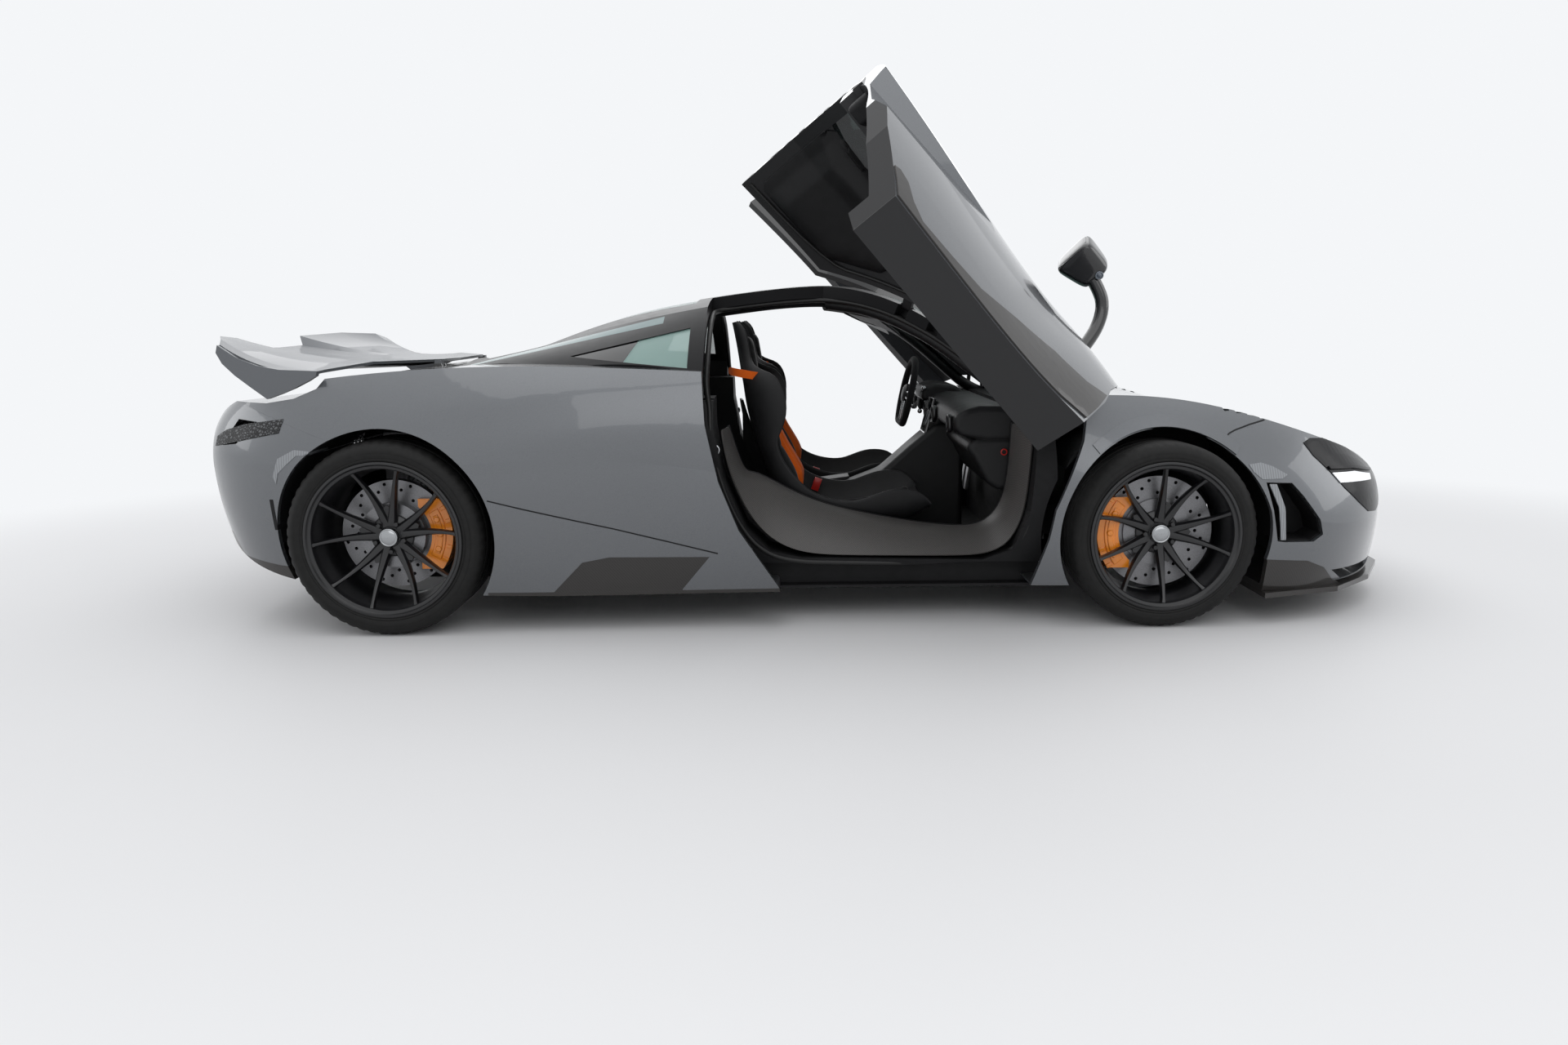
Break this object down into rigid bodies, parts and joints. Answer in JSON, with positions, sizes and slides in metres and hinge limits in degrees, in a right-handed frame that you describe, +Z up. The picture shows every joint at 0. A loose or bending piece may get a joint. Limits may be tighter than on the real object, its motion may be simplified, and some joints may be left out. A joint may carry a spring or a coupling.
{
  "type": "sports coupe",
  "caption": "Low mid-engined two-seat coupe with dihedral doors open, raised rear wing, spoked wheels, steered front axle and a cabin with bucket seats.",
  "frame": {"origin": "on the ground, under the middle of the overall box", "axes": "+X forward, +Y to the left side, +Z up"},
  "size_m": [4.47, 3.0542, 1.8622],
  "materials": {
    "arm_metal": "forged",
    "black_plastic": "moulded",
    "cabin_black": "soft-touch",
    "caliper_orange": "gloss orange",
    "carbon": "lacquered carbon weave",
    "disc_steel": "drilled and turned",
    "engine_metal": "cast",
    "exhaust_metal": "heat tinted",
    "gloss_black": "gloss black",
    "lamp_red": "clear red lens",
    "seat_fabric": "suede-like black and orange",
    "silver_paint": "grey metallic gloss",
    "tyre": "sidewall rubber",
    "wheel_black": "satin black",
    "window_glass": "tinted"
  },
  "bodies": {
    "chassis": {"canopy_frame": "gloss_black", "dashboard": "cabin_black", "diffuser": "carbon", "engine": "engine_metal", "engine_cover": "carbon", "exhausts": "exhaust_metal", "front_bumper": "silver_paint", "front_ducts": "black_plastic", "front_fenders": "silver_paint", "front_suspension": "arm_metal", "headlamps": "gloss_black", "luggage_tub": "black_plastic", "rear_bumper": "silver_paint", "rear_glass": "window_glass", "rear_quarters": "silver_paint", "rear_suspension": "arm_metal", "rear_uprights": "caliper_orange", "seat_pads": "seat_fabric", "seat_shells": "cabin_black", "side_skirts": "carbon", "sill_covers": "carbon", "splitter": "carbon", "tail_lamps": "lamp_red", "tail_mesh": "black_plastic", "tub": "cabin_black", "underfloor": "black_plastic", "wheel_liners": "black_plastic", "windscreen": "window_glass", "wing_base": "gloss_black"},
    "wheel_front_left": {"tyre_front_left": "tyre", "rim_front_left": "wheel_black", "disc_front_left": "disc_steel"},
    "wheel_front_right": {"tyre_front_right": "tyre", "rim_front_right": "wheel_black", "disc_front_right": "disc_steel"},
    "wheel_rear_left": {"tyre_rear_left": "tyre", "rim_rear_left": "wheel_black", "disc_rear_left": "disc_steel"},
    "wheel_rear_right": {"tyre_rear_right": "tyre", "rim_rear_right": "wheel_black", "disc_rear_right": "disc_steel"},
    "steer_left": {"knuckle_left": "caliper_orange"},
    "steer_right": {"knuckle_right": "caliper_orange"},
    "door_body_left": {"door_left": "silver_paint", "door_blade_left": "carbon", "door_roof_left": "gloss_black", "door_glass_left": "window_glass", "mirror_left": "gloss_black"},
    "door_body_right": {"door_right": "silver_paint", "door_blade_right": "carbon", "door_roof_right": "gloss_black", "door_glass_right": "window_glass", "mirror_right": "gloss_black"},
    "bonnet_lid": {"bonnet": "silver_paint"},
    "wing_blade": {"rear_wing": "silver_paint"},
    "steering_column_wheel": {"steering_wheel": "cabin_black"}
  },
  "joints": [
    {"name": "steer_left", "type": "hinge", "parent": "chassis", "child": "steer_left", "pos_m": [1.2, 0.735, 0.322], "axis": [0, 0, 1], "range_deg": [-28, 28]},
    {"name": "front_wheel_left", "type": "hinge", "parent": "steer_left", "child": "wheel_front_left", "pos_m": [1.2, 0.825, 0.322], "axis": [0, 1, 0], "continuous": true},
    {"name": "rear_wheel_left", "type": "hinge", "parent": "chassis", "child": "wheel_rear_left", "pos_m": [-1.47, 0.805, 0.34], "axis": [0, 1, 0], "continuous": true},
    {"name": "steer_right", "type": "hinge", "parent": "chassis", "child": "steer_right", "pos_m": [1.2, -0.735, 0.322], "axis": [0, 0, 1], "range_deg": [-28, 28]},
    {"name": "front_wheel_right", "type": "hinge", "parent": "steer_right", "child": "wheel_front_right", "pos_m": [1.2, -0.825, 0.322], "axis": [0, 1, 0], "continuous": true},
    {"name": "rear_wheel_right", "type": "hinge", "parent": "chassis", "child": "wheel_rear_right", "pos_m": [-1.47, -0.805, 0.34], "axis": [0, 1, 0], "continuous": true},
    {"name": "door_left", "type": "hinge", "parent": "chassis", "child": "door_body_left", "pos_m": [0.912, 0.736, 0.782], "axis": [0.7433, 0.4978, -0.4469], "range_deg": [-77, 0]},
    {"name": "door_right", "type": "hinge", "parent": "chassis", "child": "door_body_right", "pos_m": [0.912, -0.736, 0.782], "axis": [-0.7433, 0.4978, 0.4469], "range_deg": [-77, 0]},
    {"name": "bonnet", "type": "hinge", "parent": "chassis", "child": "bonnet_lid", "pos_m": [0.985, 0, 0.79], "axis": [0, -1, 0], "range_deg": [0, 50]},
    {"name": "rear_wing", "type": "hinge", "parent": "chassis", "child": "wing_blade", "pos_m": [-1.432, 0, 0.908], "axis": [0, 1, 0], "range_deg": [0, 20]},
    {"name": "steering_wheel", "type": "hinge", "parent": "chassis", "child": "steering_column_wheel", "pos_m": [0.45, 0.35, 0.731], "axis": [-0.977, 0, 0.213], "range_deg": [-364, 364]}
  ],
  "couplings": [
    {"joint": "steer_right", "follows": "steer_left", "ratio": 1},
    {"joint": "steering_wheel", "follows": "steer_left", "ratio": 13}
  ]
}
